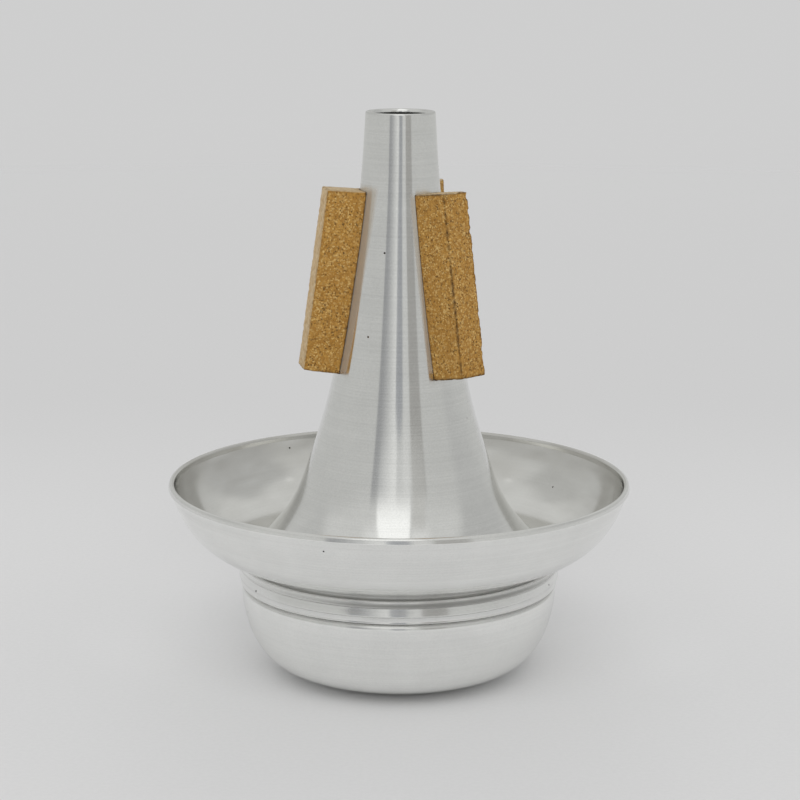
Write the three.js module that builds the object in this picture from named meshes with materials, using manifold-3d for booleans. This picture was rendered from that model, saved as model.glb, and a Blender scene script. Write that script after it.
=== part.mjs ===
// A trumpet cup mute: a hollow spun cone, a bowl that closes its wide end, a cup seated round
// its foot and three cork blocks glued to its side.
// Millimetres. The axis is +Z and the mute stands on the flat of its bowl, small end up.

import * as THREE from "three";
import { mergeVertices } from "three/addons/utils/BufferGeometryUtils.js";
import Module from "manifold-3d";

// All pieces
const sheet = 0.9; // wall of the spun aluminium
const seatGap = 0.3; // left between pieces that touch
const turnSteps = 48; // flats round the axis

// Base bowl
const bowlHeight = 22.3; // its full wall, below the step that goes under the skirt
const bowlFlatRadius = 18.5;
const bowlInset = 0.15; // of its wall inside the outside of the skirt
const bowlStepHeight = 0.9;
const bowlSteps = 11;

// Foot of the cone, from the skirt up to the shoulder
const skirtLift = 1.25; // edge of the skirt above the bowl's full wall
const skirtHeight = 2;
const beadHeight = 2.1;
const beadProud = 0.55; // out of the skirt
const beadStand = 3.05; // out of the foot wall
const footRadius = 37.1;
const footWallHeight = 3.35;

// Cone above its shoulder
const coneHeight = 110;
const mouthRadius = 8.5; // outside of the small end
const coneSteps = 20;

// Cup
const cupClearance = 0.3; // of its neck round the foot wall
const collarHeight = 1.65;
const collarStand = 1.75; // out of the neck
const grooveHeight = 1.1;
const cupHeight = 19.3; // underside of the floor to the top of the rim
const rimRadius = 57.5;
const rimRollRadius = 1;
const bellySteps = 14;

// Corks
const corkWidth = 8;
const corkHeight = 44;
const corkDrop = 18.25; // from the small end down to the top of the corks
const corkThickness = 8.8; // out of the cone
const corkChamfer = 0.5;
const corkAngles = { cork_left: 191, cork_right: 315, cork_back: 67 }; // degrees from +X

// Stations of each outline, as shares of the way across and of the way up
const bowlShares = [
  [0, 0],
  [0.21, 0.035],
  [0.42, 0.1],
  [0.625, 0.184],
  [0.78, 0.325],
  [0.888, 0.5],
  [0.957, 0.7],
  [0.99, 0.86],
  [1, 1],
];
const coneShares = [
  [1, 0],
  [0.983, 0.017],
  [0.902, 0.036],
  [0.79, 0.064],
  [0.696, 0.095],
  [0.591, 0.145],
  [0.493, 0.218],
  [0.364, 0.318],
  [0.255, 0.445],
  [0.143, 0.627],
  [0.04, 0.845],
  [0, 1],
];
const cupShares = [
  [0, 0],
  [0.175, 0.037],
  [0.374, 0.109],
  [0.556, 0.227],
  [0.712, 0.379],
  [0.831, 0.563],
  [0.927, 0.776],
  [1, 1],
];

// Heights where the pieces meet
const skirtEdge = bowlHeight + skirtLift;
const beadBottom = skirtEdge + skirtHeight;
const beadTop = beadBottom + beadHeight;
const shoulder = beadTop + footWallHeight;
const coneTop = shoulder + coneHeight;
const corkTop = coneTop - corkDrop;
const corkBottom = corkTop - corkHeight;

// Radii where the pieces meet
const beadRadius = footRadius + beadStand;
const skirtRadius = beadRadius - beadProud;
const skirtBore = skirtRadius - sheet;
const bowlRadius = skirtRadius - bowlInset;

const wasm = await Module();
wasm.setup();

function point(radius, height) {
  return new THREE.Vector2(radius, height);
}

// A smooth outline through stations that lie between two corners
function smoothOutline(start, end, stationShares, steps) {
  const stations = stationShares.map(([across, up]) =>
    point(
      THREE.MathUtils.lerp(start.x, end.x, across),
      THREE.MathUtils.lerp(start.y, end.y, up),
    ),
  );
  return new THREE.SplineCurve(stations).getPoints(steps);
}

// The part of an outline that goes round a centre, anticlockwise, with its angles in radians
function roundOutline(centre, radius, startAngle, endAngle, steps) {
  const arc = new THREE.ArcCurve(centre.x, centre.y, radius, startAngle, endAngle, false);
  return arc.getPoints(steps);
}

// The other face of a wall: the same outline moved to the left of the way it runs
function wallOutline(outline, wall) {
  return outline.map((here, i) => {
    const before = outline[Math.max(i - 1, 0)];
    const after = outline[Math.min(i + 1, outline.length - 1)];
    const along = after.clone().sub(before).normalize();
    return point(here.x - along.y * wall, here.y + along.x * wall);
  });
}

// An outline turned round the axis
function turned(outline) {
  return new THREE.LatheGeometry(outline, turnSteps).rotateX(Math.PI / 2);
}

function solidOf(geometry) {
  const bare = geometry.clone();
  bare.deleteAttribute("normal");
  bare.deleteAttribute("uv");
  const merged = mergeVertices(bare);
  return new wasm.Manifold(
    new wasm.Mesh({
      numProp: 3,
      vertProperties: merged.getAttribute("position").array,
      triVerts: new Uint32Array(merged.index.array),
    }),
  );
}

function geometryOf(solid) {
  const { vertProperties, triVerts } = solid.getMesh();
  const geometry = new THREE.BufferGeometry();
  geometry.setAttribute("position", new THREE.BufferAttribute(vertProperties, 3));
  geometry.setIndex(new THREE.BufferAttribute(triVerts, 1));
  geometry.computeVertexNormals();
  return geometry;
}

function spunAluminium() {
  return new THREE.MeshStandardMaterial({ color: 0xc6c8ca, roughness: 0.25, metalness: 1 });
}

function cork() {
  return new THREE.MeshStandardMaterial({ color: 0xa86f3f, roughness: 0.9, metalness: 0 });
}

function piece(name, geometry, material) {
  const mesh = new THREE.Mesh(geometry, material);
  mesh.name = name;
  return mesh;
}

// Outside of the cone from its shoulder to its mouth
function coneOutline() {
  return smoothOutline(
    point(mouthRadius, shoulder),
    point(footRadius, coneTop),
    coneShares,
    coneSteps,
  );
}

// The cone with its foot: an open shell whose skirt laps over the bowl
function throatCone() {
  const noseRadius = beadHeight / 2;
  const nose = point(beadRadius - noseRadius, beadBottom + noseRadius);
  const outside = coneOutline();
  const outline = [
    point(skirtBore, skirtEdge),
    point(skirtRadius, skirtEdge),
    point(skirtRadius, beadBottom),
    ...roundOutline(nose, noseRadius, -Math.PI / 2, Math.PI / 2, 6),
    point(footRadius, beadTop),
    ...outside,
    ...wallOutline(outside, sheet).reverse(),
    point(footRadius - sheet, beadTop - sheet),
    point(skirtBore, beadTop - sheet),
    point(skirtBore, skirtEdge),
  ];
  return piece("throat_cone", turned(outline), spunAluminium());
}

// The bowl, closed below, with its upper wall stepped in to fit inside the skirt
function baseBowl() {
  const lapRadius = skirtBore - seatGap;
  const belly = smoothOutline(
    point(bowlFlatRadius, 0),
    point(bowlRadius, bowlHeight),
    bowlShares,
    bowlSteps,
  );
  const outside = [
    point(0, 0),
    ...belly,
    point(lapRadius, bowlHeight + bowlStepHeight),
    point(lapRadius, beadTop - sheet - seatGap),
  ];
  const outline = [...outside, ...wallOutline(outside, sheet).reverse()];
  return piece("base_bowl", turned(outline), spunAluminium());
}

// The cup: a collar that rests on the bead, a neck round the foot, the belly and a rolled rim
function cupBowl() {
  const neckBore = footRadius + cupClearance;
  const neckRadius = neckBore + sheet;
  const collarBottom = beadTop + seatGap;
  const collarTop = collarBottom + collarHeight;
  const floorBottom = collarTop + grooveHeight;
  const noseRadius = collarHeight / 2;
  const nose = point(neckRadius + collarStand - noseRadius, collarBottom + noseRadius);
  const roll = point(rimRadius - rimRollRadius, floorBottom + cupHeight - rimRollRadius);
  const rollStart = -Math.acos(sheet / 2 / rimRollRadius);
  const rollEnd = Math.PI - rollStart;
  const rim = roundOutline(roll, rimRollRadius, rollStart, rollEnd, 8);
  const belly = smoothOutline(point(neckRadius, floorBottom), rim[0], cupShares, bellySteps);
  const outline = [
    point(neckBore, collarBottom),
    ...roundOutline(nose, noseRadius, -Math.PI / 2, Math.PI / 2, 6),
    point(neckRadius, collarTop),
    ...belly.slice(0, -1),
    ...rim,
    ...wallOutline(belly, sheet).slice(0, -1).reverse(),
    point(neckBore, floorBottom + sheet),
    point(neckBore, collarBottom),
  ];
  return piece("cup_bowl", turned(outline), spunAluminium());
}

// Radius of the cone's outside at a height
function coneRadiusAt(height) {
  const outline = coneOutline();
  const above = outline.findIndex((station) => station.y >= height);
  const low = outline[above - 1];
  const high = outline[above];
  return THREE.MathUtils.mapLinear(height, low.y, high.y, low.x, high.x);
}

// Corners of a cork's side: its outer face lies along the cone and its ends are square to it
function corkCorners() {
  const foot = point(coneRadiusAt(corkBottom) + corkThickness, corkBottom);
  const top = point(coneRadiusAt(corkTop) + corkThickness, corkTop);
  const along = top.clone().sub(foot).normalize();
  const inwards = point(-along.y, along.x);
  const footEnd = foot.clone().addScaledVector(inwards, foot.x);
  const topEnd = top.clone().addScaledVector(inwards, top.x);
  return [footEnd, foot, top, topEnd];
}

// A block that stands out of the cone, cut behind to the cone's own curve
function corkBlock(name, angle) {
  const side = new THREE.Shape(corkCorners());
  const flatWidth = corkWidth - 2 * corkChamfer;
  const block = new THREE.ExtrudeGeometry(side, {
    depth: flatWidth,
    bevelThickness: corkChamfer,
    bevelSize: corkChamfer,
    bevelOffset: -corkChamfer,
    bevelSegments: 1,
  });
  block.translate(0, 0, -flatWidth / 2).rotateX(Math.PI / 2);
  const core = turned([
    point(0, shoulder),
    ...wallOutline(coneOutline(), -seatGap),
    point(0, coneTop),
  ]);
  const cut = solidOf(block).subtract(solidOf(core));
  const mesh = piece(name, geometryOf(cut), cork());
  mesh.rotation.z = THREE.MathUtils.degToRad(angle);
  return mesh;
}

const corks = new THREE.Group();
for (const [name, angle] of Object.entries(corkAngles)) {
  corks.add(corkBlock(name, angle));
}

const body = new THREE.Group();
body.add(throatCone(), baseBowl(), corks);

const cup = new THREE.Group();
cup.add(cupBowl());

const mute = new THREE.Group();
mute.add(body, cup);

export default mute;
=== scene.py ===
import math

import bmesh
import bpy
import numpy as np
from mathutils import Matrix, Vector, noise


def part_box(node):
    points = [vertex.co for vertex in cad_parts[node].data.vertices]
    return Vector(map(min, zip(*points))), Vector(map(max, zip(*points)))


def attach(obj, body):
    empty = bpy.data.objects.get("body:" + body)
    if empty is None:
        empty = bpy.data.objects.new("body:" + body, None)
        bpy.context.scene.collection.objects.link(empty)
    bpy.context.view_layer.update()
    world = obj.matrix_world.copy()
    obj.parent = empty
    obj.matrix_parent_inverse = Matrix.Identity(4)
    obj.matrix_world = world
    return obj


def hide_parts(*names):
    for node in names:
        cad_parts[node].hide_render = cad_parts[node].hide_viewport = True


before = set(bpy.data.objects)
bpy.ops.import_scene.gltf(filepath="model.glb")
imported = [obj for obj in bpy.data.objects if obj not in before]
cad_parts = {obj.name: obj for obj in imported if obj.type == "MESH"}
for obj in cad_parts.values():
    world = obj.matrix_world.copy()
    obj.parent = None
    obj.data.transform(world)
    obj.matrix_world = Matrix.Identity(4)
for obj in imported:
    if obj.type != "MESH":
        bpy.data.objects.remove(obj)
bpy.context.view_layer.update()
print("frame loaded with", ", ".join(sorted(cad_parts)))

mm = 0.001
tiny = 1e-6
scene = bpy.context.scene


camera = {
    "focalPixels": 2284,
    "framePixels": 800,
    "sensor": 36,  # millimetres
    "place": (0.00015, -0.5551, 0.1879),  # metres
    "downTilt": 12.04,
    "roll": 0.23,
    "nearest": 0.01,
}


def makeCamera(values):
    data = bpy.data.cameras.new("camera")
    data.sensor_width = values["sensor"]
    data.lens = values["focalPixels"] / values["framePixels"] * values["sensor"]
    data.clip_start = values["nearest"]
    holder = bpy.data.objects.new("camera", data)
    scene.collection.objects.link(holder)
    tilt = Matrix.Rotation(math.radians(90 - values["downTilt"]), 4, "X")
    roll = Matrix.Rotation(math.radians(values["roll"]), 4, "Z")
    holder.matrix_world = Matrix.Translation(values["place"]) @ tilt @ roll
    scene.camera = holder


makeCamera(camera)


class Nodes:
    # a short way to add nodes and links to one tree
    def __init__(self, tree):
        self.tree = tree

    def add(self, kind, inputs=None, **settings):
        node = self.tree.nodes.new(kind)
        for key, value in settings.items():
            setattr(node, key, value)
        for key, value in (inputs or {}).items():
            self.feed(node.inputs[key], value)
        return node

    def feed(self, socket, value):
        if isinstance(value, bpy.types.NodeSocket):
            self.tree.links.new(value, socket)
        else:
            socket.default_value = value

    def math(self, operation, a, b=0.0, c=0.0, clamp=False):
        node = self.add("ShaderNodeMath", {0: a, 1: b, 2: c}, operation=operation)
        node.use_clamp = clamp
        return node.outputs[0]

    def ramp(self, value, low, high, start=0.0, end=1.0):
        node = self.add("ShaderNodeMapRange", {
            "Value": value, "From Min": low, "From Max": high, "To Min": start, "To Max": end})
        node.interpolation_type = "SMOOTHSTEP"
        return node.outputs["Result"]

    def mix(self, factor, a, b, blend="MIX"):
        node = self.add("ShaderNodeMix", data_type="RGBA", blend_type=blend)
        self.feed(node.inputs[0], factor)
        self.feed(node.inputs[6], a)
        self.feed(node.inputs[7], b)
        return node.outputs[2]

    def noise(self, vector, scale, detail=2.0, roughness=0.5):
        node = self.add("ShaderNodeTexNoise", {
            "Vector": vector, "Scale": scale, "Detail": detail, "Roughness": roughness})
        return node.outputs["Fac"]

    def attribute(self, name):
        return self.add("ShaderNodeAttribute", attribute_name=name).outputs["Fac"]


def newMaterial(name):
    material = bpy.data.materials.new(name)
    material.use_nodes = True
    material.node_tree.nodes.clear()
    return material, Nodes(material.node_tree)


def finishMaterial(nodes, shader):
    nodes.add("ShaderNodeOutputMaterial", {"Surface": shader})


def newGroup(name, inputs, outputs):
    tree = bpy.data.node_groups.new(name, "ShaderNodeTree")
    for label, kind, value in inputs:
        socket = tree.interface.new_socket(name=label, in_out="INPUT", socket_type=kind)
        if value is not None:
            socket.default_value = value
    for label, kind in outputs:
        tree.interface.new_socket(name=label, in_out="OUTPUT", socket_type=kind)
    nodes = Nodes(tree)
    start = nodes.add("NodeGroupInput")
    end = nodes.add("NodeGroupOutput")
    return tree, nodes, start.outputs, end.inputs


aluminium = {
    "color": (0.80, 0.803, 0.787, 1),
    # dirt and painted shade: the dark colour of crevices and recesses, also used for painted
    # reflections of dark bars
    "dirtAndShade": (0.26, 0.255, 0.24, 1),
    "pitColor": (0.03, 0.028, 0.025, 1),
    "insideDarkColor": (0.62, 0.612, 0.582, 1),
    # painted reflection and shadow of the corks, brownish, on the cone beside them
    "corkReflectionColor": (0.315, 0.26, 0.175, 1),
    "bands": {  # the rate is a share of the piece's lines; the tone changes over the span
        "Wide": {"rate": 0.45, "detail": 2.0, "span": (0.25, 0.75), "tone": (0.985, 1.01)},
        "Fine": {"rate": 1.0, "detail": 3.0, "span": (0.3, 0.7), "tone": (0.975, 1.02)},
        "Broad": {"rate": 0.1, "detail": 1.0, "span": (0.3, 0.7), "tone": (0.99, 1.005)},
    },
    "lineSwing": 0.2,  # how far a line wanders on its way round
    "lineHeight": 0.0000011,  # metres
    "wideHeight": 0.7,  # against the fine lines
    "broadHeight": 0.8,
    "mottles": {2600.0: (0.97, 1.025), 130.0: (0.98, 1.015)},  # tones at two sizes of noise
    "mottleSpan": (0.3, 0.7),
    "smudgeScale": 42.0,
    "smudgeAmount": 0.6,
    "smudgeDetail": 4.0,
    "smudgeFine": 0.55,
    "smudgeSpan": (0.42, 0.72),
    "grimeAndShadeSpan": (0.2, 0.75),  # of the wide lines
    "grimeAndShadeShare": (0.7, 1.0),
    "pitEdge": 0.45,  # full depth inside this share of its radius
    "pitShare": 0.97,
    "pitDepth": 0.0001,  # metres
    "corkReflectionShare": 0.6,
    "corkReflectionDull": 0.45,
    "roughness": 0.095,
    "lineRough": 0.06,  # the rest is added where these marks are
    "smudgeRough": 0.03,
    "corkReflectionRough": 0.08,
    "dirtAndShadeRough": 0.35,
    "anisotropy": 0.8,
    "acrossLines": 0.25,  # a quarter turn: the lines go round
}


# lines that a turning tool leaves round the axis: fine ones, and wider ones that come and go
def makeTurningLines(values):
    tree, nodes, given, result = newGroup(
        "turningLines",
        [("Along", "NodeSocketFloat", None), ("Lines", "NodeSocketFloat", None),
         ("Swing", "NodeSocketFloat", values["lineSwing"])],
        [(label, "NodeSocketFloat") for label in values["bands"]])
    place = nodes.add("ShaderNodeTexCoord").outputs["Object"]
    flat = nodes.add("ShaderNodeVectorMath", {0: place, 1: (1, 1, 0)}, operation="MULTIPLY")
    unit = nodes.add("ShaderNodeVectorMath", {0: flat.outputs[0]}, operation="NORMALIZE")
    swung = nodes.add("ShaderNodeVectorMath", {0: unit.outputs[0]}, operation="SCALE")
    nodes.feed(swung.inputs["Scale"], given["Swing"])
    around = nodes.add("ShaderNodeSeparateXYZ", {0: swung.outputs[0]})
    for label, band in values["bands"].items():
        rate = nodes.math("MULTIPLY", given["Lines"], band["rate"])
        level = nodes.math("MULTIPLY", given["Along"], rate)
        spot = nodes.add("ShaderNodeCombineXYZ", {
            "X": around.outputs["X"], "Y": around.outputs["Y"], "Z": level})
        nodes.feed(result[label], nodes.noise(spot.outputs[0], 1.0, band["detail"]))
    return tree


# soft marks left by hands and cloths
def makeSmudges(values):
    tree, nodes, given, result = newGroup(
        "smudges",
        [("Scale", "NodeSocketFloat", values["smudgeScale"]),
         ("Amount", "NodeSocketFloat", values["smudgeAmount"])],
        [("Mask", "NodeSocketFloat")])
    place = nodes.add("ShaderNodeTexCoord").outputs["Object"]
    large = nodes.noise(place, given["Scale"], values["smudgeDetail"], values["smudgeFine"])
    soft = nodes.ramp(large, *values["smudgeSpan"])
    nodes.feed(result["Mask"], nodes.math("MULTIPLY", soft, given["Amount"]))
    return tree


# one small round dent or speck at a place on the surface
def makePit(values):
    tree, nodes, given, result = newGroup(
        "pit",
        [("Place", "NodeSocketVector", None), ("Radius", "NodeSocketFloat", None)],
        [("Mask", "NodeSocketFloat")])
    place = nodes.add("ShaderNodeTexCoord").outputs["Object"]
    away = nodes.add("ShaderNodeVectorMath", {0: place, 1: given["Place"]}, operation="DISTANCE")
    share = nodes.math("DIVIDE", away.outputs["Value"], given["Radius"])
    nodes.feed(result["Mask"], nodes.ramp(share, 1.0, values["pitEdge"]))
    return tree


turningLines = makeTurningLines(aluminium)
smudges = makeSmudges(aluminium)
pit = makePit(aluminium)


def useGroup(nodes, tree, **values):
    node = nodes.add("ShaderNodeGroup", node_tree=tree)
    for label, value in values.items():
        nodes.feed(node.inputs[label], value)
    return node.outputs


# the piece gives the rate of its lines, its shine, and its pits: places on the surface and radii
def makeAluminium(name, values, metal=aluminium):
    material, nodes = newMaterial(name)
    paintedCorkReflection = nodes.attribute("paintedCorkReflection")
    turned = useGroup(nodes, turningLines, Along=nodes.attribute("along"), Lines=values["lines"])
    marks = useGroup(nodes, smudges)["Mask"]
    # grime and painted shade: the metal is darker and rougher in crevices, in recesses and on one
    # side of some edges
    patches = nodes.ramp(turned["Wide"], *metal["grimeAndShadeSpan"], *metal["grimeAndShadeShare"])
    patchy = nodes.math("MULTIPLY", nodes.attribute("grime"), patches)
    specks = 0.0
    for place, radius in values["pits"]:
        spot = useGroup(nodes, pit, Place=[length * mm for length in place], Radius=radius * mm)
        specks = nodes.math("MAXIMUM", specks, spot["Mask"])
    tone = values["shine"]
    for label, band in metal["bands"].items():
        level = nodes.ramp(turned[label], *band["span"], *band["tone"])
        tone = nodes.math("MULTIPLY", tone, level)
    place = nodes.add("ShaderNodeTexCoord").outputs["Object"]
    for scale, tones in metal["mottles"].items():
        level = nodes.ramp(nodes.noise(place, scale), *metal["mottleSpan"], *tones)
        tone = nodes.math("MULTIPLY", tone, level)
    grey = nodes.add("ShaderNodeCombineColor", {"Red": tone, "Green": tone, "Blue": tone})
    clean = nodes.mix(1.0, metal["color"], grey.outputs[0], "MULTIPLY")
    # a darker inside wall, more so towards the rim
    clean = nodes.mix(nodes.attribute("insideDarkening"), clean, metal["insideDarkColor"])
    # painted reflection and shadow of the corks: brownish, duller and rougher metal beside them
    reflectedCork = nodes.math("MULTIPLY", paintedCorkReflection, metal["corkReflectionShare"])
    clean = nodes.mix(reflectedCork, clean, metal["corkReflectionColor"])
    color = nodes.mix(patchy, clean, metal["dirtAndShade"])
    color = nodes.mix(nodes.math("MULTIPLY", specks, metal["pitShare"]), color, metal["pitColor"])
    darkened = nodes.math("MAXIMUM", patchy, specks)
    rough = nodes.math("MULTIPLY_ADD", turned["Fine"], metal["lineRough"], metal["roughness"])
    rough = nodes.math("MULTIPLY_ADD", marks, metal["smudgeRough"], rough)
    rough = nodes.math("MULTIPLY_ADD", paintedCorkReflection, metal["corkReflectionRough"], rough)
    rough = nodes.math("MULTIPLY_ADD", darkened, metal["dirtAndShadeRough"], rough, clamp=True)
    lift = nodes.math("MULTIPLY_ADD", turned["Wide"], metal["wideHeight"], turned["Fine"])
    lift = nodes.math("MULTIPLY_ADD", turned["Broad"], metal["broadHeight"], lift)
    bump = nodes.add("ShaderNodeBump", {
        "Height": lift, "Distance": metal["lineHeight"], "Strength": 1.0})
    dents = nodes.add("ShaderNodeBump", {
        "Height": nodes.math("MULTIPLY", specks, -1.0), "Distance": metal["pitDepth"],
        "Strength": 1.0, "Normal": bump.outputs[0]})
    tangent = nodes.add("ShaderNodeTangent", direction_type="RADIAL", axis="Z")
    shader = nodes.add("ShaderNodeBsdfPrincipled", {
        "Base Color": color, "Roughness": rough,
        "Metallic": nodes.math("MULTIPLY_ADD", paintedCorkReflection, -metal["corkReflectionDull"], 1.0),
        "Anisotropic": metal["anisotropy"], "Anisotropic Rotation": metal["acrossLines"],
        "Tangent": tangent.outputs[0], "Normal": dents.outputs[0]})
    finishMaterial(nodes, shader.outputs[0])
    return material


def clamped(value):
    return min(1.0, max(0.0, value))


# gives every point of a mesh a value that the materials read
def paint(mesh, label, amounts):
    layer = mesh.attributes.new(label, "FLOAT", "POINT")
    layer.data.foreach_set("value", amounts)


def smoothPiece(name, mesh):
    mesh.polygons.foreach_set("use_smooth", [True] * len(mesh.polygons))
    mesh.update()
    piece = bpy.data.objects.new(name, mesh)
    scene.collection.objects.link(piece)
    return piece


# cubic spline through (radius, height) stations, cut into even steps
def splineThrough(stations, steps):
    points = np.array(stations, float)
    knots = np.concatenate([[0], np.cumsum(np.linalg.norm(np.diff(points, axis=0), axis=1))])
    gaps = np.diff(knots)
    last = len(knots) - 1
    system = np.eye(last + 1)
    pull = np.zeros((last + 1, 2))
    for i in range(1, last):
        system[i, i - 1:i + 2] = gaps[i - 1], 2 * (gaps[i - 1] + gaps[i]), gaps[i]
        ahead = (points[i + 1] - points[i]) / gaps[i]
        behind = (points[i] - points[i - 1]) / gaps[i - 1]
        pull[i] = 6 * (ahead - behind)
    bends = np.linalg.solve(system, pull)
    path = []
    for distance in np.linspace(0, knots[-1], steps + 1):
        i = min(int(np.searchsorted(knots, distance, side="right")) - 1, last - 1)
        a = (knots[i + 1] - distance) / gaps[i]
        b = 1 - a
        curve = (a ** 3 - a) * bends[i] + (b ** 3 - b) * bends[i + 1]
        path.append(a * points[i] + b * points[i + 1] + curve * gaps[i] ** 2 / 6)
    return path


def stationsOf(shares, start, end):
    return [(start[0] + (end[0] - start[0]) * across, start[1] + (end[1] - start[1]) * up)
            for across, up in shares]


# the other face of a wall, moved to the left of the way the outline runs
def wallOf(path, wall):
    points = np.array(path)
    along = np.gradient(points, axis=0)
    along /= np.linalg.norm(along, axis=1)[:, None]
    return list(points + wall * np.stack([-along[:, 1], along[:, 0]], axis=1))


def arcOf(center, radius, startAngle, endAngle, steps):
    angles = np.radians(np.linspace(startAngle, endAngle, steps + 1))
    return [(center[0] + radius * math.cos(a), center[1] + radius * math.sin(a)) for a in angles]


# turned pieces, in millimetres
turning = {
    "softness": 0.09,  # rounding of every corner
    "step": 0.04,
    "widest": 1.5,  # between the points that are kept
    "widestDarkened": 0.2,  # and in a crevice
    "darkenedReach": 2,  # times the width of a crevice's grime and painted shade
    "broadGrimeAndShade": 1.5,  # grime and painted shade as wide as this needs no closer points
    "grimeAndShadeReach": 3,  # no grime nor painted shade further away than this
    "turn": 6,  # degrees between points on a curve
    "cornerTurn": 0.6,  # degrees in one step that make a corner
    "spokes": 288,
    "wobble": 0.008,
    "waves": 1.6,  # of the wobble, round the piece
    "wavesUp": 0.07,
    "calm": 4,  # radius inside which the wobble fades
}


# rounds every corner a little, then keeps the points that the curve needs
def easeOutline(outline, closed, crevices):
    softness, step = turning["softness"], turning["step"]
    points = np.array([tuple(p) for p in outline], float)
    if closed:
        points = np.vstack([points, points[:1]])
    lengths = np.concatenate([[0], np.cumsum(np.linalg.norm(np.diff(points, axis=0), axis=1))])
    keep = np.concatenate([[True], np.diff(lengths) > tiny])
    count = int(lengths[-1] / step)
    even = np.linspace(0, lengths[-1], count, endpoint=not closed)
    fine = np.stack([np.interp(even, lengths[keep], points[keep, i]) for i in (0, 1)], axis=1)
    reach = int(4 * softness / step)
    weights = np.exp(-0.5 * (np.arange(-reach, reach + 1) * step / softness) ** 2)
    weights /= weights.sum()
    mode = "wrap" if closed else "edge"
    padded = np.pad(fine, ((reach, reach), (0, 0)), mode=mode)
    eased = np.stack([np.convolve(padded[:, i], weights, "valid") for i in (0, 1)], axis=1)
    if not closed:
        eased[0], eased[-1] = fine[0], fine[-1]
    darkened = np.full(len(eased), False)
    for radius, height, width, *_ in crevices:
        if width < turning["broadGrimeAndShade"]:
            away = np.linalg.norm(eased - (radius, height), axis=1)
            darkened |= away < turning["darkenedReach"] * width
    chosen = [0]
    heading = before = None
    tight = False
    for i in range(1, len(eased) - 1):
        ahead = eased[i + 1] - eased[i]
        angle = math.atan2(ahead[1], ahead[0])
        heading = angle if heading is None else heading
        before = angle if before is None else before
        bend = abs((angle - heading + math.pi) % (2 * math.pi) - math.pi)
        change = abs((angle - before + math.pi) % (2 * math.pi) - math.pi)
        wasTight, tight = tight, change > math.radians(turning["cornerTurn"])
        before = angle
        widest = turning["widestDarkened"] if darkened[i] else turning["widest"]
        if (bend > math.radians(turning["turn"]) or (i - chosen[-1]) * step > widest
                or tight != wasTight):  # this also holds the flat beside a corner
            chosen.append(i)
            heading = angle
    if not closed:
        chosen.append(len(eased) - 1)
    return eased[chosen], even[chosen]


# grime and painted shade at a point of a wall
def grimeAndShadeAt(radius, height, bearing, crevices):
    most = 0.0
    for r, h, width, strength, *side in crevices:
        amount = strength * math.exp(-((radius - r) ** 2 + (height - h) ** 2) / width ** 2)
        if side:
            amount *= math.exp(side[1] * (math.cos(math.radians(bearing - side[0])) - 1))
        most = max(most, amount)
    return most


# turns an outline (millimetres) round the axis, with the grime, painted shade and darker inside
# wall of the piece's values
def turnPiece(name, outline, closed, values):
    crevices, insideDarkening, spokes = values["grime"], values.get("insideDarkening"), turning["spokes"]
    rings, along = easeOutline(outline, closed, crevices)
    verts, faces, starts = [], [], []
    alongs, grimeAndShadeAmounts, insideDarkenings = [], [], []
    for ring, ((radius, height), distance) in enumerate(zip(rings, along)):
        starts.append(len(verts))
        count = 1 if radius < tiny else spokes
        runsDown = rings[(ring + 1) % len(rings)][1] < rings[ring - 1][1]
        dull = 0.0
        # the inside wall is darker towards the rim, in patches
        if insideDarkening and runsDown and radius > insideDarkening["radius"]:
            share = (height - insideDarkening["from"]) / (insideDarkening["to"] - insideDarkening["from"])
            dull = insideDarkening["low"] + (insideDarkening["high"] - insideDarkening["low"]) * clamped(share)
        near = [c for c in crevices
                if math.hypot(radius - c[0], height - c[1]) < turning["grimeAndShadeReach"] * c[2]]
        for k in range(count):
            angle = 2 * math.pi * k / spokes
            turn = Vector((math.cos(angle), math.sin(angle), 0))
            dirtAndShade = grimeAndShadeAt(radius, height, math.degrees(angle) + 90, near) if near else 0.0
            grimeAndShadeAmounts.append(min(1.0, dirtAndShade))
            if dull:
                spot = Vector((*(turn.xy * insideDarkening["patches"]), height * insideDarkening["patchesUp"]))
                patch = noise.fractal(spot, *insideDarkening["octaves"])
                insideDarkenings.append(min(1.0, dull * (1 + insideDarkening["patchShare"] * patch)))
            else:
                insideDarkenings.append(0.0)
            spot = Vector((*(turn.xy * turning["waves"]), height * turning["wavesUp"]))
            spot.y += values["seed"]
            wave = turning["wobble"] * noise.noise(spot)
            grown = radius + wave * min(1, radius / turning["calm"])
            verts.append((turn * grown + Vector((0, 0, height))) * mm)
        alongs += [distance * mm] * count
    pairs = list(zip(range(len(rings) - 1), range(1, len(rings))))
    if closed:
        pairs.append((len(rings) - 1, 0))
    for low, high in pairs:
        a, b = starts[low], starts[high]
        single = [rings[low][0] < tiny, rings[high][0] < tiny]
        for k in range(spokes):
            n = (k + 1) % spokes
            if single[0]:
                faces.append((a, b + n, b + k))
            elif single[1]:
                faces.append((a + k, a + n, b))
            else:
                faces.append((a + k, a + n, b + n, b + k))
    mesh = bpy.data.meshes.new(name)
    mesh.from_pydata(verts, [], faces)
    for label, amounts in (("along", alongs), ("grime", grimeAndShadeAmounts), ("insideDarkening", insideDarkenings)):
        paint(mesh, label, amounts)
    return smoothPiece(name, mesh)


def settle(piece, material, body, node):
    piece.data.materials.clear()
    piece.data.materials.append(material)
    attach(piece, body)
    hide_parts(node)
    print("made", piece.name, "with", len(piece.data.vertices), "points")


# outer radius, lowest and highest level of a turned solid, in millimetres
def turnedSize(node):
    low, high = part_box(node)
    return [round(length / mm, 2) for length in (high.x, low.z, high.z)]


sheet = 0.9
coneRadius, coneBottom, coneTop = turnedSize("throat_cone")
bowlRadius, bowlBottom, bowlTop = turnedSize("base_bowl")
cupRadius, cupBottom, cupTop = turnedSize("cup_bowl")

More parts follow.
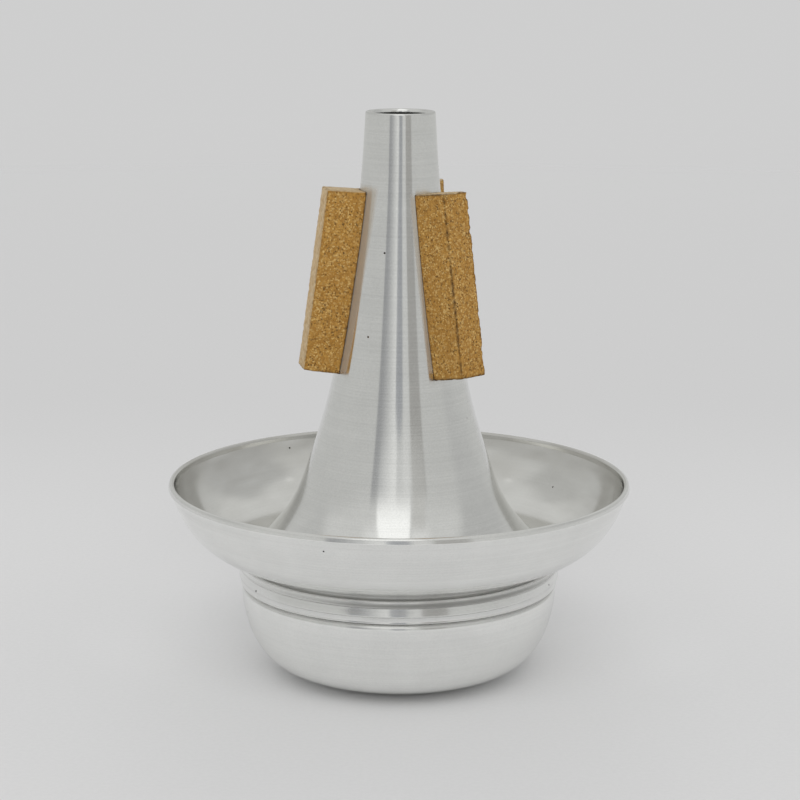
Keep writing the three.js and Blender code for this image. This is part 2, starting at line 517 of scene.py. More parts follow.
cone = {
    "top": coneTop,
    "mouthRadius": 8.5,
    "lipRound": 0.35,
    "lipSlope": 1.1,
    "lipOutside": (8, 90, 8),  # first and last angle of an arc and its steps
    "lipInside": (90, 172, 14),
    "lipGap": 0.05,  # the walls end this far below the lip
    "footRadius": coneRadius - 3.05,
    "shoulder": coneBottom + 7.45,
    "beadRadius": coneRadius,
    "beadLean": 0.45,
    "beadTop": coneBottom + 4.1,
    "beadBottom": coneBottom + 1.95,
    "beadAbove": 0.1,  # its under side slopes from below its bottom to above it
    "beadBelow": 0.2,
    "skirtRadius": coneRadius - 0.53,
    "skirtBottom": coneBottom + 0.25,
    "skirtFlare": 0.12,
    "flareHeight": 0.5,
    "skirtBore": coneRadius - 1.4,
    "shares": [(1, 0), (0.983, 0.017), (0.902, 0.036), (0.79, 0.064), (0.696, 0.095),
               (0.588, 0.145), (0.486, 0.218), (0.366, 0.318), (0.255, 0.445),
               (0.143, 0.627), (0.04, 0.845), (0, 1)],
    "steps": 220,
    "lines": 2800.0,
    "shine": 1.0,
    "seed": 3.1,
    "pits": [((-3.72, -10.86, 107.9), 0.34), ((-7.64, -12.26, 87.65), 0.32),
             ((16.58, -8.66, 66.9), 0.2), ((-34.79, -19.87, 25.95), 0.35),
             ((36.98, -15.18, 26.4), 0.3)],
}
# grime and painted shade of a piece: radius, height, width and strength; where it lies mostly on
# one side, also the bearing of that side from the front and how narrow it is. The darkening in
# crevices and recesses is painted shade.
cone["grime"] = [
    (cone["footRadius"], cone["beadTop"], 1.2, 0.9),
    (cone["skirtRadius"] - 0.32, cone["skirtBottom"] - 0.05, 0.3, 0.1),
    (cone["skirtRadius"], cone["beadBottom"] - 0.2, 0.12, 0.12),
    # painted shadow under the bead at its left and right ends
    (cone["beadRadius"] - 0.25, cone["beadBottom"] - 0.1, 0.3, 1.0, -74, 30),
    (cone["beadRadius"] - 0.25, cone["beadBottom"] - 0.1, 0.3, 1.0, 67, 400),
    # painted reflections of dark bars on the bead, where it faces the front
    (cone["beadRadius"] - 0.25, cone["beadTop"] - 0.95, 0.7, 0.4, -16, 700),
    (cone["beadRadius"] - 0.25, cone["beadTop"] - 0.95, 0.7, 0.35, 1.2, 600),
    (cone["beadRadius"] - 0.25, cone["beadTop"] - 0.95, 0.7, 0.35, 13, 350),
    (cone["beadRadius"] - 0.45, cone["beadTop"] - 0.05, 0.15, 0.3),
    (cone["footRadius"], cone["shoulder"], 0.5, 0.6),
    # painted shade at the left and right of the lip
    (cone["mouthRadius"] - 0.3, cone["top"] - 0.1, 0.35, 0.5, -90, 1.5),
    (cone["mouthRadius"] - 0.3, cone["top"] - 0.1, 0.35, 0.5, 90, 1.5),
]


def coneCurve(steps):
    stations = stationsOf(cone["shares"], (cone["mouthRadius"], cone["shoulder"]),
                          (cone["footRadius"], cone["top"]))
    return splineThrough(stations, steps)


def makeCone(values):
    outside = coneCurve(values["steps"])
    inside = wallOf(outside, sheet)
    bend, slope = values["lipRound"], values["lipSlope"]
    edge = values["mouthRadius"] - bend
    lip = arcOf((edge, values["top"] - bend), bend, *values["lipOutside"])
    inner = arcOf((0, 0), 1, *values["lipInside"])
    width = edge - inside[-1][0]
    lip += [(edge + width * x, values["top"] + slope * (y - 1)) for x, y in inner]
    outside = [point for point in outside if point[1] < lip[0][1] - values["lipGap"]]
    inside = [point for point in inside if point[1] < lip[-1][1] - values["lipGap"]]
    outline = [
        (values["skirtBore"], values["beadTop"] - sheet),
        (values["skirtBore"], values["skirtBottom"]),
        (values["skirtRadius"] + values["skirtFlare"], values["skirtBottom"]),
        (values["skirtRadius"], values["skirtBottom"] + values["flareHeight"]),
        (values["skirtRadius"], values["beadBottom"] - values["beadBelow"]),
        (values["beadRadius"], values["beadBottom"] + values["beadAbove"]),
        (values["beadRadius"] - values["beadLean"], values["beadTop"]),
        (values["footRadius"], values["beadTop"]),
        *outside,
        *lip,
        *inside[::-1],
        (values["footRadius"] - sheet, values["beadTop"] - sheet),
    ]
    return turnPiece("throat_shell", outline, True, values)


bowl = {
    "flatRadius": 18.5,
    "bottom": bowlBottom,
    "fullHeight": bowlTop - 4.4,
    "radius": bowlRadius,
    "shoulderRound": 1.8,
    "shoulderArc": (0, 52, 12),
    "stepHeight": 0.25,  # from the shoulder up to the wall inside the skirt
    "innerStep": 0.6,
    "lapRadius": bowlRadius - 1.05,
    "lapTop": bowlTop,
    "shares": [(0, 0), (0.21, 0.0354), (0.42, 0.101), (0.625, 0.186), (0.78, 0.329),
               (0.888, 0.506), (0.957, 0.708), (0.99, 0.87), (1, 1)],
    "steps": 120,
    "lines": 2300.0,
    "shine": 1.12,
    "seed": 7.7,
    "pits": [((-37.4, -11.18, 17.9), 0.25)],
}
bowl["grime"] = [
    # painted shade at the step and on the shoulder, where it also dulls the reflected highlight,
    # and low on the belly near the floor
    (bowl["lapRadius"], bowl["fullHeight"] + 1.75, 0.4, 0.3),
    (bowl["radius"] - 0.45, bowl["fullHeight"] + 1.05, 0.55, 0.55),
    (bowl["radius"] - 0.15, bowl["fullHeight"] + 0.65, 0.4, 0.3),
    (bowl["flatRadius"] + 8.5, bowl["bottom"] + 1.8, 5.0, 0.22),
]


def makeBowl(values):
    bottom = values["bottom"]
    stations = stationsOf(values["shares"], (values["flatRadius"], bottom),
                          (values["radius"], values["fullHeight"]))
    belly = splineThrough(stations, values["steps"])
    bend = values["shoulderRound"]
    center = (values["radius"] - bend, values["fullHeight"])
    shoulder = arcOf(center, bend, *values["shoulderArc"])
    outside = [
        (0, bottom), (values["flatRadius"] / 2, bottom), *belly, *shoulder[1:],
        (values["lapRadius"], shoulder[-1][1] + values["stepHeight"]),
        (values["lapRadius"], values["lapTop"]),
    ]
    inside = [
        (values["lapRadius"] - sheet, values["lapTop"]),
        (values["lapRadius"] - sheet, values["fullHeight"] + values["innerStep"]),
        *wallOf(belly, sheet)[::-1],
        (values["flatRadius"] / 2, bottom + sheet), (0, bottom + sheet),
    ]
    return turnPiece("bowl_shell", outside + inside, False, values)


cup = {
    "neckBore": cone["footRadius"] + 0.3,
    "neckRadius": cone["footRadius"] + 0.3 + sheet,
    "ringRadius": cone["footRadius"] + 3.0,
    "ringBottom": cupBottom - 0.2,
    "ringTop": cupBottom + 1.65,
    "ringLean": 0.22,
    "ringRound": 0.75,
    "ringArc": (12, 90, 12),
    "ringChamfer": 0.1,
    "floor": cupBottom + 2.75,
    "rimRadius": cupRadius + 0.03,
    "rimBottom": cupTop - 2.0,
    "rimTop": cupTop - 0.4,
    "rimLean": 0.17,
    "rimRound": 0.66,
    "rimArc": (8, 185, 36),
    "rimChamfer": (0.2, 0.15),  # inwards and up
    "wallEnd": (cupRadius - 0.61, cupTop - 2.0),
    "shares": [(0, 0), (0.173, 0.037), (0.37, 0.109), (0.55, 0.227), (0.705, 0.379),
               (0.831, 0.563), (0.932, 0.776), (1, 1)],
    "steps": 110,
    "lines": 2300.0,
    "shine": 1.14,
    "seed": 12.4,
    "pits": [((-17.08, -53.28, 45.6), 0.36), ((-29.56, 46.59, 46.2), 0.4),
             ((40.68, 32.05, 39.3), 0.3)],
    # the inside wall is darker, more so towards the rim, in patches
    "insideDarkening": {"radius": cone["footRadius"] + 1.4, "from": cupBottom + 6.05, "to": cupTop - 3.0,
              "low": 0.42, "high": 0.8, "patches": 5, "patchesUp": 0.5, "patchShare": 0.35,
              "octaves": (1.0, 2.0, 3)},
}
cup["grime"] = [
    # painted shade in the neck recess, under the ring and the rolled rim, and at the foot of the
    # inside
    (cup["neckRadius"], cup["ringTop"] + 0.1, 0.2, 0.75),
    (cup["neckRadius"], cup["ringTop"] + 0.55, 0.35, 0.8),
    (cup["neckRadius"], cup["floor"] - 0.15, 0.22, 0.95),
    (cup["neckRadius"] + 1.0, cup["ringTop"] - 0.1, 0.7, 0.7),
    (cup["ringRadius"] - 0.05, cup["ringBottom"] + 0.2, 0.3, 0.4),
    # painted shade on one side under the ring
    (cup["ringRadius"] - 0.05, cup["ringBottom"] + 0.6, 0.65, 1.3, 20, 2.2),
    (*cup["wallEnd"], 0.15, 0.25),
    (cup["rimRadius"] - 0.6, cup["rimTop"] - 0.3, 0.8, 0.25),
    (cup["neckBore"], cup["floor"] + sheet, 0.4, 0.6),
    # painted shade at the far left and right of the rim and of the wall below it
    (cup["rimRadius"] - 1.2, cup["rimBottom"] - 1.8, 1.8, 0.22, -88, 3),
    (cup["rimRadius"] - 1.2, cup["rimBottom"] - 1.8, 1.8, 0.22, 88, 3),
    (cup["rimRadius"] - 3.0, cup["rimBottom"] - 5.5, 3.5, 0.1, -88, 3),
    (cup["rimRadius"] - 3.0, cup["rimBottom"] - 5.5, 3.5, 0.1, 88, 3),
    (cup["rimRadius"] - 0.1, cup["rimTop"] - 0.7, 1.0, 0.28, -90, 4),
    (cup["rimRadius"] - 0.1, cup["rimTop"] - 0.7, 1.0, 0.22, 90, 4),
]


# the rolled edge of the cup, pressed flat outside
def rimOutline(values):
    radius, bottom, bend = values["rimRadius"], values["rimBottom"], values["rimRound"]
    inwards, up = values["rimChamfer"]
    center = (radius - values["rimLean"] - bend, values["rimTop"] - bend)
    return [
        (radius - inwards, bottom),
        (radius, bottom + up),
        *arcOf(center, bend, *values["rimArc"]),
    ]


def makeCup(values):
    stations = stationsOf(values["shares"], (values["neckRadius"], values["floor"]),
                          values["wallEnd"])
    belly = splineThrough(stations, values["steps"])
    inside = wallOf(belly, sheet)
    ring, bend, chamfer = values["ringRadius"], values["ringRound"], values["ringChamfer"]
    center = (ring - values["ringLean"] - bend, values["ringTop"] - bend)
    outline = [
        (values["neckBore"], values["floor"] + sheet),
        (values["neckBore"], values["ringBottom"]),
        (ring - chamfer, values["ringBottom"]),
        (ring, values["ringBottom"] + chamfer),
        *arcOf(center, bend, *values["ringArc"]),
        (values["neckRadius"], values["ringTop"]),
        *belly,
        *rimOutline(values),
        *inside[:-1][::-1],
    ]
    return turnPiece("cup_shell", outline, True, values)


# painted reflection and shadow of the corks on the cone
paintedCorkReflection = {
    "angles": (191.0, 315.2, 67.0),
    "reaches": (3.2, 1.3, 3.2),
    "halfWidth": 4.0,
    "heights": (coneTop - 60.8, coneTop - 20.2),
    "upDown": 1.6,  # it ends this much sooner above and below
    "fullness": 4.5,
    "unevenness": 0.8,
    "patches": 0.6,
}


# painted reflection and shadow of the corks: a brownish band on the cone beside each cork
def spread(piece):
    amounts = []
    for vertex in piece.data.vertices:
        spot = vertex.co / mm
        low, high = paintedCorkReflection["heights"]
        most = 0.0
        for angle, reach in zip(paintedCorkReflection["angles"], paintedCorkReflection["reaches"]):
            away = math.radians(angle)
            out = spot.x * math.cos(away) + spot.y * math.sin(away)
            side = abs(spot.y * math.cos(away) - spot.x * math.sin(away)) - paintedCorkReflection["halfWidth"]
            over = max(side, paintedCorkReflection["upDown"] * max(low - spot.z, spot.z - high))
            if out > 0:
                patch = paintedCorkReflection["unevenness"] * noise.noise(spot * paintedCorkReflection["patches"])
                most = max(most, (paintedCorkReflection["fullness"] + patch) * (1 - over / reach))
        amounts.append(clamped(most))
    paint(piece.data, "paintedCorkReflection", amounts)


coneShell = makeCone(cone)
bowlShell = makeBowl(bowl)
cupShell = makeCup(cup)
spread(coneShell)
settle(coneShell, makeAluminium("coneMetal", cone), "mute_body", "throat_cone")
settle(bowlShell, makeAluminium("bowlMetal", bowl), "mute_body", "base_bowl")
settle(cupShell, makeAluminium("cupMetal", cup), "cup", "cup_bowl")


corkGrain = {
    "light": (0.64, 0.44, 0.17, 1),
    "middle": (0.43, 0.235, 0.055, 1),
    "dark": (0.335, 0.168, 0.034, 1),
    "speck": (0.055, 0.026, 0.010, 1),
    "glue": (0.06, 0.03, 0.012, 1),
    # painted sheen and light: the paler colour of the tops and of the lit outer faces
    "paintedSheen": (0.64, 0.52, 0.34, 1),
    "granules": 1600.0,
    "flecks": 1.9,  # against the granules
    "warp": 0.0007,  # metres
    "warpScale": 500.0,
    # where the mask of each shade starts and ends, then the share of the shade at either end
    "middleGrains": (0.1, 0.9),
    "lightGrains": (0.75, 1.0, 0.0, 0.4),
    "lightFlecks": (0.78, 0.94, 0.0, 0.75),
    "darkFlecks": (0.89, 0.97, 0.0, 0.75),
    "seams": (0.12, 0.0, 0.0, 0.35),
    "clouds": (0.35, 0.65, 0.0, 0.3),
    "cloudScale": 160.0,
    "pits": (0.86, 0.96),
    "grainHeight": 0.8,
    "fineScale": 5200.0,
    "detail": 3.0,
    "height": 0.00009,  # metres
    "relief": 0.7,
    "roughness": (0.72, 0.92),
    "shine": 0.25,
}


def makeCorkMaterial(grain):
    material, nodes = newMaterial("pressedCork")
    place = nodes.add("ShaderNodeTexCoord").outputs["Object"]
    warp = nodes.add("ShaderNodeTexNoise", {
        "Vector": place, "Scale": grain["warpScale"], "Detail": 2.0}).outputs["Color"]
    bent = nodes.add("ShaderNodeVectorMath", {0: warp, 1: (grain["warp"],) * 3, 2: place},
                     operation="MULTIPLY_ADD").outputs[0]
    size = grain["granules"]
    large = nodes.add("ShaderNodeTexVoronoi", {"Vector": bent, "Scale": size})
    small = nodes.add("ShaderNodeTexVoronoi", {"Vector": bent, "Scale": size * grain["flecks"]})
    seams = nodes.add("ShaderNodeTexVoronoi", {"Vector": bent, "Scale": size},
                      feature="DISTANCE_TO_EDGE")
    granule = nodes.add("ShaderNodeSeparateColor", {0: large.outputs["Color"]}).outputs
    fleck = nodes.add("ShaderNodeSeparateColor", {0: small.outputs["Color"]}).outputs
    cloud = nodes.noise(place, grain["cloudScale"], grain["detail"])
    color = grain["dark"]
    for mask, span, shade in (
            (granule[0], "middleGrains", "middle"), (granule[1], "lightGrains", "light"),
            (fleck[0], "lightFlecks", "light"), (fleck[1], "darkFlecks", "speck"),
            (seams.outputs["Distance"], "seams", "speck"), (cloud, "clouds", "dark")):
        color = nodes.mix(nodes.ramp(mask, *grain[span]), color, grain[shade])
    # painted sheen and light on the tops and outer faces
    color = nodes.mix(nodes.attribute("paintedSheen"), color, grain["paintedSheen"])
    color = nodes.mix(nodes.attribute("edge"), color, grain["speck"])
    color = nodes.mix(nodes.attribute("glue"), color, grain["glue"])
    pits = nodes.math("MULTIPLY", nodes.ramp(fleck[1], *grain["pits"]), -1.0)
    lift = nodes.math("MULTIPLY_ADD", granule[2], grain["grainHeight"], pits)
    lift = nodes.math("ADD", lift, nodes.noise(place, grain["fineScale"], grain["detail"]))
    bump = nodes.add("ShaderNodeBump", {
        "Height": lift, "Distance": grain["height"], "Strength": grain["relief"]})
    shader = nodes.add("ShaderNodeBsdfPrincipled", {
        "Base Color": color, "Roughness": nodes.ramp(granule[2], 0.0, 1.0, *grain["roughness"]),
        "Normal": bump.outputs[0], "Specular IOR Level": grain["shine"]})
    finishMaterial(nodes, shader.outputs[0])
    return material


corks = {
    "cork_left": {"angle": 191.0, "width": 8.0, "outTop": 8.9, "outBottom": 8.7,
                  "top": coneTop - 18.3, "bottom": coneTop - 62.3, "topTilt": 4.2,
                  "bottomTilt": 8.7, "seed": 17, "sheenOnFace": 0.75, "edgeLine": 0.4, "chips": 0.5},
    "cork_right": {"angle": 315.7, "width": 8.4, "outTop": 8.65, "outBottom": 9.05,
                   "top": coneTop - 18.2, "bottom": coneTop - 62.1, "topTilt": 6.3,
                   "bottomTilt": 10.4, "seed": 34, "sheenOnFace": 0.0, "edgeLine": 1.0, "chips": 1.5},
    "cork_back": {"angle": 67.0, "width": 8.0, "outTop": 8.8, "outBottom": 8.8,
                  "top": coneTop - 18.1, "bottom": coneTop - 62.2, "topTilt": 8.0,
                  "bottomTilt": 8.0, "seed": 51, "sheenOnFace": 0.7, "edgeLine": 0.3, "chips": 0.5},
}
cutCork = {
    "cells": (36, 32, 150),  # outwards, across and up
    "round": 0.3,
    "glueGap": 0.06,
    "sheenOnTop": 0.9,
    "sheenUneven": (1.3, 0.75, 0.5),  # noise scale, level and swing
    "edgeWidth": 0.65,
    "edgeUneven": (1.1, 0.75, 0.7),
    "glueReach": 1.15,
    "glueUneven": (0.9, 0.28, 0.22),
    "glueHold": 0.8,  # keeps the glued edge from crumbling
    "crumbs": (0.95, 0.35, 0.09),  # noise scale, middle and height
    "fine": (1.9, 0.035),
    "octaves": (0.6, 2.0, 3),
    "corner": 0.73,  # how far a corner stands out, in roundings
    "edgeChips": [(0.8, 0.12, 0.9), (1.7, 0.05, 0.6)],  # noise scale, where they start, depth
    "chipWidth": 1.0,
    "wideChips": (0.55, 0.1),
}

conePath = np.array(coneCurve(400))


def coneRadiusAt(height):
    return float(np.interp(height, conePath[:, 1], conePath[:, 0]))


# points and faces of a box's surface lattice
def boxLattice(nx, ny, nz):
    index, faces = {}, []

    def at(*key):
        return index.setdefault(key, len(index))

    for i in range(nx):
        for j in range(ny):
            for k, flip in ((0, True), (nz, False)):
                quad = [at(i, j, k), at(i + 1, j, k), at(i + 1, j + 1, k), at(i, j + 1, k)]
                faces.append(quad[::-1] if flip else quad)
    for j in range(ny):
        for k in range(nz):
            for i, flip in ((0, True), (nx, False)):
                quad = [at(i, j, k), at(i, j + 1, k), at(i, j + 1, k + 1), at(i, j, k + 1)]
                faces.append(quad[::-1] if flip else quad)
    for i in range(nx):
        for k in range(nz):
            for j, flip in ((0, True), (ny, False)):
                quad = [at(i, j, k), at(i, j, k + 1), at(i + 1, j, k + 1), at(i + 1, j, k)]
                faces.append(quad[::-1] if flip else quad)
    return index, faces


# how far out the back of a cork lies, against the cone
def backOf(height, side):
    return math.sqrt(coneRadiusAt(height) ** 2 - side ** 2) + cutCork["glueGap"]


def makeCork(name, values):
    nx, ny, nz = cutCork["cells"]
    thick = (values["outTop"] + values["outBottom"]) / 2
    wide, tall, ease = values["width"], values["top"] - values["bottom"], cutCork["round"]
    index, faces = boxLattice(nx, ny, nz)
    shift = Vector((values["seed"], 0, 0))
    verts, wears, sheens, edges, bevels, glues = [], [], [], [], [], []
    topFront = coneRadiusAt(values["top"]) + values["outTop"]
    bottomFront = coneRadiusAt(values["bottom"]) + values["outBottom"]
    for i, j, k in index:
        spot = Vector((thick * i / nx, wide * (j / ny - 0.5), tall * k / nz))
        inner = Vector((min(spot.x, thick - ease),
                        max(min(spot.y, wide / 2 - ease), ease - wide / 2),
                        max(min(spot.z, tall - ease), ease)))
        out = spot - inner
        wears.append(max(0.0, out.length - ease) / (ease * cutCork["corner"]))
        if out.length > tiny:
            spot = inner + out.normalized() * ease
        share = spot.z / tall
        front = bottomFront + (topFront - bottomFront) * share
        tilt = values["bottomTilt"] + (values["topTilt"] - values["bottomTilt"]) * share
        height = values["bottom"] + spot.z
        back = backOf(height, spot.y)
        for _ in range(2):  # the tilt moves a point up or down the cone
            reach = back + (front - back) * spot.x / thick
            level = height - (front - reach) * math.tan(math.radians(tilt))
            back = backOf(level, spot.y)
        verts.append(Vector((reach, spot.y, level)))
        borders = sorted((thick - spot.x, wide / 2 - abs(spot.y), min(spot.z, tall - spot.z)))
        away = max(0.0, borders[1])
        edges.append(values["edgeLine"] * max(0.0, 1 - away / cutCork["edgeWidth"]))
        bevels.append(values["chips"] * max(0.0, 1 - away / cutCork["chipWidth"]))
        # painted sheen and light on the top and on the outer face
        bare = max(values["sheenOnFace"] if i == nx else 0.0, cutCork["sheenOnTop"] if k == nz else 0.0)
        scale, middle, swing = cutCork["sheenUneven"]
        sheens.append(bare * (middle + swing * noise.noise(spot * scale + shift)))
        scale, middle, swing = cutCork["glueUneven"]
        rag = middle + swing * noise.noise(Vector((spot.y, level, 0)) * scale + shift)
        glues.append(clamped(cutCork["glueReach"] - (reach - back) / rag))
    mesh = bpy.data.meshes.new(name)
    mesh.from_pydata(verts, [], faces)
    mesh.update()
    normals = [v.normal.copy() for v in mesh.vertices]
    moved = []
    for point, normal, wear, bevel, glue in zip(verts, normals, wears, bevels, glues):
        scale, middle, height = cutCork["crumbs"]
        near = noise.voronoi((point + shift) * scale)[0]
        crumbs = (near[1] - near[0] - middle) * height
        scale, height = cutCork["fine"]
        fine = noise.fractal((point + shift) * scale, *cutCork["octaves"]) * height
        chip = sum(max(0.0, noise.noise((point + shift) * scale) - start) * wear * depth
                   for scale, start, depth in cutCork["edgeChips"])
        scale, start = cutCork["wideChips"]
        chip += max(0.0, noise.noise((point - shift) * scale) - start) * bevel
        free = 1.0 - min(1.0, glue * cutCork["glueHold"])
        moved.append((point + normal * (crumbs + fine - chip) * free) * mm)
    turn = Matrix.Rotation(math.radians(values["angle"]), 4, "Z")
    mesh.vertices.foreach_set("co", [c for p in moved for c in turn @ p])
    scale, middle, swing = cutCork["edgeUneven"]
    edges = [edge * (middle + swing * noise.noise(point * scale + shift))
             for point, edge in zip(verts, edges)]
    for label, amounts in (("glue", glues), ("paintedSheen", sheens), ("edge", edges)):
        paint(mesh, label, [clamped(amount) for amount in amounts])
    return smoothPiece(name + "_block", mesh)


corkMaterial = makeCorkMaterial(corkGrain)
for name, values in corks.items():
    settle(makeCork(name, values), corkMaterial, "mute_body", name)


# places on the floor are in metres, heights of the light in degrees
studio = {
    "floorColor": (0.745, 0.745, 0.745, 1),
    # painted light on the floor: lighter in front and at the sides, a little darker far behind
    "frontColor": (0.825, 0.825, 0.82, 1),
    "sideGain": 1.045,
    "farGain": 0.95,
    "nearGain": 1.15,
    "nearSide": (0.09, 0.04),
    "nearFront": (-0.025, 0.035),
    "nearBack": (0.15, 0.045),
    "farFrom": 0.06,
    "farTo": 0.35,
    "sideFrom": 0.025,
    "sideTo": 0.085,
    "frontFrom": -0.085,
    "frontTo": -0.20,
    "viewColor": (0.62, 0.62, 0.62, 1),
    "fillLow": (1.05, 1.05, 1.05, 1),
    "fillHigh": (0.43, 0.43, 0.43, 1),
    "fillFrom": 22,
    "fillTo": 46,
    "floorRadius": 3.0,
    "floorSides": 96,
    "fadeStart": 0.5,
    "fadeEnd": 1.6,
    "paperScale": 900.0,
    "paperSpan": (0.3, 0.7),
    "paperTone": (0.99, 1.01),
}


def greyOf(level):
    return (level, level, level, 1)


def makeFloor(values):
    mesh = bpy.data.meshes.new("floor")
    work = bmesh.new()
    bmesh.ops.create_circle(work, cap_ends=True, radius=values["floorRadius"],
                            segments=values["floorSides"])
    work.to_mesh(mesh)
    work.free()
    floor = bpy.data.objects.new("floor", mesh)
    scene.collection.objects.link(floor)
    material, nodes = newMaterial("paleFloor")
    place = nodes.add("ShaderNodeTexCoord").outputs["Object"]
    away = nodes.add("ShaderNodeVectorMath", {0: place}, operation="LENGTH").outputs["Value"]
    fade = nodes.ramp(away, values["fadeStart"], values["fadeEnd"])
    paper = nodes.noise(place, values["paperScale"])
    tone = nodes.ramp(paper, *values["paperSpan"], *values["paperTone"])
    shade = nodes.add("ShaderNodeCombineColor", {"Red": tone, "Green": tone, "Blue": tone})
    axes = nodes.add("ShaderNodeSeparateXYZ", {0: place}).outputs
    # painted light: the floor is lighter in front and beside the mute and a little darker far
    # behind it
    front = nodes.ramp(axes["Y"], values["frontFrom"], values["frontTo"])
    side = nodes.math("ABSOLUTE", axes["X"])
    gain = nodes.ramp(side, values["sideFrom"], values["sideTo"], 1.0, values["sideGain"])
    far = nodes.ramp(axes["Y"], values["farFrom"], values["farTo"])
    gain = nodes.mix(far, gain, greyOf(values["farGain"]))
    color = nodes.mix(front, values["floorColor"], values["frontColor"])
    color = nodes.mix(1.0, color, shade.outputs[0], "MULTIPLY")
    color = nodes.mix(1.0, color, gain, "MULTIPLY")
    # the shadow beside and behind the mute is lighter to the camera than to the metal
    near = nodes.add("ShaderNodeLightPath").outputs["Is Camera Ray"]
    near = nodes.math("MULTIPLY", near, nodes.ramp(side, *values["nearSide"]))
    near = nodes.math("MULTIPLY", near, nodes.ramp(axes["Y"], *values["nearFront"]))
    near = nodes.math("MULTIPLY", near, nodes.ramp(axes["Y"], *values["nearBack"]))
    lighter = nodes.mix(near, greyOf(1), greyOf(values["nearGain"]))
    color = nodes.mix(1.0, color, lighter, "MULTIPLY")
    matt = nodes.add("ShaderNodeBsdfDiffuse", {"Color": color})
    clear = nodes.add("ShaderNodeBsdfTransparent")
    both = nodes.add("ShaderNodeMixShader", {0: fade, 1: matt.outputs[0], 2: clear.outputs[0]})
    finishMaterial(nodes, both.outputs[0])
    mesh.materials.append(material)


# what the metal mirrors: bearings in degrees from the front, to the right, and heights in
# degrees; the fades lie inside the ranges
mirrored = {
    "low": (0.568, 0.57, 0.559, 1),
    "high": (0.66, 0.662, 0.65, 1),
    "riseFrom": 16,
    "riseTo": 34,
    "tip": 0.05,  # width left at the top of a panel that tapers
    "panels": [
        {"name": "sideLeft", "bearing": (-140, -84), "fade": (14, 14), "height": (18, 50),
         "rise": (8, 12), "color": (0.54, 0.542, 0.532, 1)},
        {"name": "sideRight", "bearing": (70, 136), "fade": (14, 14), "height": (0, 50),
         "rise": (10, 10), "color": (0.52, 0.522, 0.515, 1)},
        {"name": "glowTop", "bearing": (-52, 46), "fade": (14, 14), "height": (36, 85),
         "rise": (14, 5), "color": (0.79, 0.792, 0.78, 1)},
        {"name": "barLeft", "bearing": (-36, -7), "fade": (2, 1), "height": (-60, 27),
         "rise": (5, 5), "color": (0.345, 0.35, 0.357, 1)},
        {"name": "glowLeft", "bearing": (-33, -3), "fade": (31, 1), "height": (-60, 60),
         "rise": (5, 5), "color": (0.78, 0.782, 0.77, 1)},
        {"name": "glowRight", "bearing": (5, 18), "fade": (1, 2), "height": (-60, 60),
         "rise": (5, 5), "color": (0.635, 0.637, 0.627, 1)},
        {"name": "barRight", "bearing": (15.5, 35.5), "fade": (2, 2), "height": (-60, 25),
         "rise": (5, 7), "color": (0.393, 0.388, 0.374, 1)},
        {"name": "shadeRight", "bearing": (15.5, 33), "fade": (2, 2), "height": (20, 46),
         "rise": (5, 4), "color": (0.61, 0.607, 0.59, 1)},
        {"name": "barMiddle", "bearing": (-6.8, 6.2), "fade": (1.2, 1.8), "height": (2, 21),
         "rise": (3, 3), "taper": 6, "color": (0.368, 0.378, 0.398, 1)},
        {"name": "barMiddleLow", "bearing": (-4.2, 7.2), "fade": (1.2, 1.4), "height": (-60, 5),
         "rise": (5, 3), "color": (0.35, 0.36, 0.375, 1)},
        {"name": "window", "bearing": (-27.5, 14.5), "fade": (1.2, 1.2), "height": (18, 85),
         "rise": (19, 4), "color": (1.12, 1.125, 1.11, 1)},
        {"name": "glintLeft", "bearing": (-91, -83), "fade": (3, 3), "height": (46.5, 51.5),
         "rise": (2, 2), "color": (0.90, 0.90, 0.89, 1)},
        {"name": "glintRight", "bearing": (83, 91), "fade": (3, 3), "height": (46.5, 51.5),
         "rise": (2, 2), "color": (0.90, 0.90, 0.89, 1)},
    ],
}


# 1 inside a range and 0 outside it, with an edge that fades inside the range
def within(nodes, value, limits, fades):
    start = nodes.ramp(value, limits[0], limits[0] + fades[0])
    end = nodes.ramp(value, limits[1], limits[1] - fades[1])
    return nodes.math("MULTIPLY", start, end)


# bearing and height of the way that a world shader is looked at, in degrees
def lookOf(nodes):
    aim = nodes.add("ShaderNodeTexCoord").outputs["Generated"]
    axes = nodes.add("ShaderNodeSeparateXYZ", {0: aim}).outputs
    front = nodes.math("MULTIPLY", axes["Y"], -1.0)
    bearing = nodes.math("DEGREES", nodes.math("ARCTAN2", axes["X"], front))
    height = nodes.math("DEGREES", nodes.math("ARCSINE", axes["Z"]))
    return bearing, height


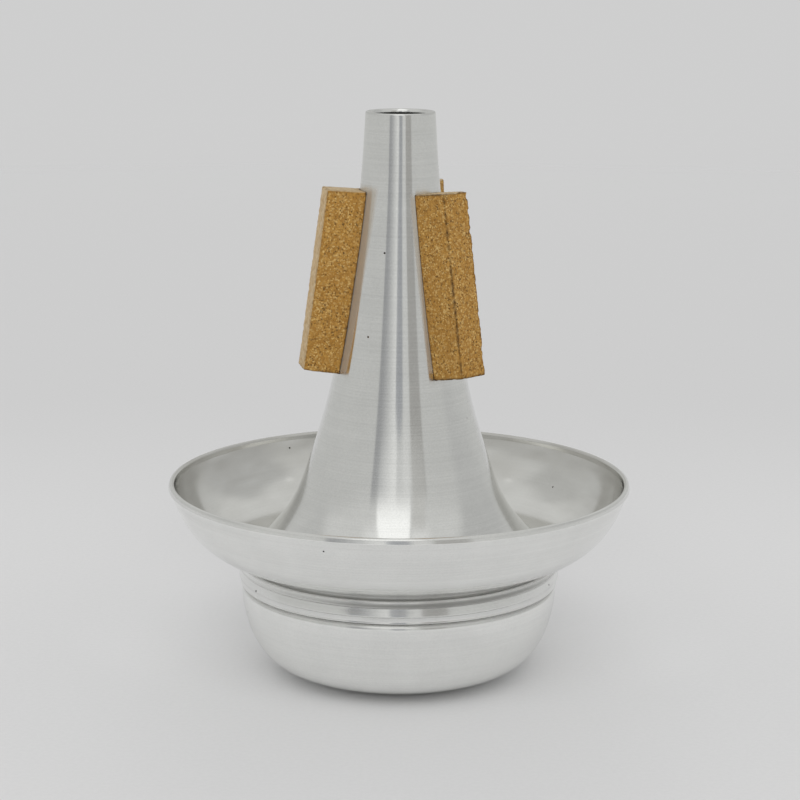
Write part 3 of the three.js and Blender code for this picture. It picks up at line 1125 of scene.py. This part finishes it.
def makeMirrored(nodes, values, bearing, height):
    rise = nodes.ramp(height, values["riseFrom"], values["riseTo"])
    color = nodes.mix(rise, values["low"], values["high"])
    for panel in values["panels"]:
        spot = bearing
        if "taper" in panel:  # comes to a point at its top
            middle = sum(panel["bearing"]) / 2
            top = panel["height"][1]
            narrow = nodes.add("ShaderNodeMapRange", {
                "Value": height, "From Min": top, "From Max": top - panel["taper"],
                "To Min": values["tip"], "To Max": 1.0}).outputs["Result"]
            offset = nodes.math("SUBTRACT", bearing, middle)
            spot = nodes.math("ADD", nodes.math("DIVIDE", offset, narrow), middle)
        across = within(nodes, spot, panel["bearing"], panel["fade"])
        up = within(nodes, height, panel["height"], panel["rise"])
        color = nodes.mix(nodes.math("MULTIPLY", across, up), color, panel["color"])
    return color


def makeWorld(values, mirrored):
    world = bpy.data.worlds.new("studio")
    world.use_nodes = True
    world.node_tree.nodes.clear()
    nodes = Nodes(world.node_tree)
    bearing, height = lookOf(nodes)
    fall = nodes.ramp(height, values["fillFrom"], values["fillTo"])
    fill = nodes.mix(fall, values["fillLow"], values["fillHigh"])
    path = nodes.add("ShaderNodeLightPath").outputs
    seen = nodes.math("MAXIMUM", path["Is Camera Ray"], path["Is Transmission Ray"])
    color = nodes.mix(seen, fill, values["viewColor"])
    color = nodes.mix(path["Is Glossy Ray"], color, makeMirrored(nodes, mirrored, bearing, height))
    light = nodes.add("ShaderNodeBackground", {"Color": color, "Strength": 1.0})
    nodes.add("ShaderNodeOutputWorld", {"Surface": light.outputs[0]})
    scene.world = world


makeFloor(studio)
makeWorld(studio, mirrored)


keyLight = {
    "bearing": -1,
    "height": 42,
    "spread": 50,
    "strength": 1.12,
}


# broad light from the front that only lights: the metal mirrors the pattern above instead
def makeKeyLight(values):
    data = bpy.data.lights.new("keyLight", "SUN")
    data.angle = math.radians(values["spread"])
    data.energy = values["strength"]
    lamp = bpy.data.objects.new("keyLight", data)
    scene.collection.objects.link(lamp)
    bearing, height = math.radians(values["bearing"]), math.radians(values["height"])
    toLamp = Vector((math.sin(bearing) * math.cos(height), -math.cos(bearing) * math.cos(height),
                     math.sin(height)))
    lamp.location = toLamp
    lamp.rotation_euler = toLamp.to_track_quat("Z", "Y").to_euler()
    lamp.visible_glossy = False
    lamp.visible_camera = False


makeKeyLight(keyLight)

scene.view_settings.view_transform = "Standard"

print("scene ready")
